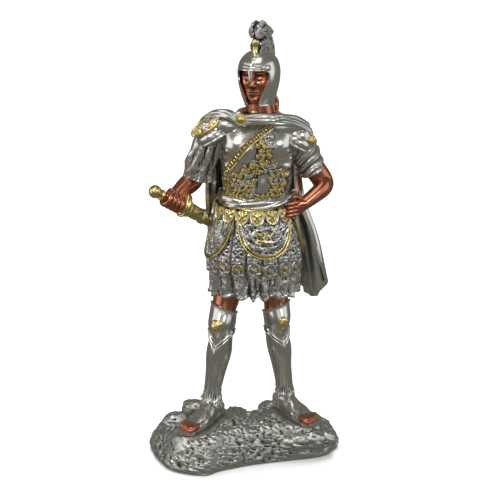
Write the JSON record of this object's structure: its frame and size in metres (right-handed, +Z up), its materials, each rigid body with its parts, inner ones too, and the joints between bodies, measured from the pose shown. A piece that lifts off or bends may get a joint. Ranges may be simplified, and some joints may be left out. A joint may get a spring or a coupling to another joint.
{
  "type": "gladiator figurine",
  "caption": "Cast figurine of a standing gladiator in plumed helmet, muscle cuirass, cape and greaves, one hand on a sheathed sword, on a rock base.",
  "frame": {"origin": "on the flat underside of the rock base, below the middle of its length and depth", "axes": "+Z up, the gladiator's chest faces -Y, the sword hand is on the -X side"},
  "size_m": [0.1462, 0.0964, 0.3217],
  "materials": {
    "silver_plate": "bright silver plate, dark patina in the hollows",
    "rock_silver": "antiqued silver over rough rock",
    "copper_plate": "polished copper plate on the skin, dark in the folds",
    "gilding": "pale gold plate on the raised ornament"
  },
  "bodies": {
    "root": {"gladiator": "silver_plate", "rock_base": "rock_silver"}
  },
  "joints": []
}
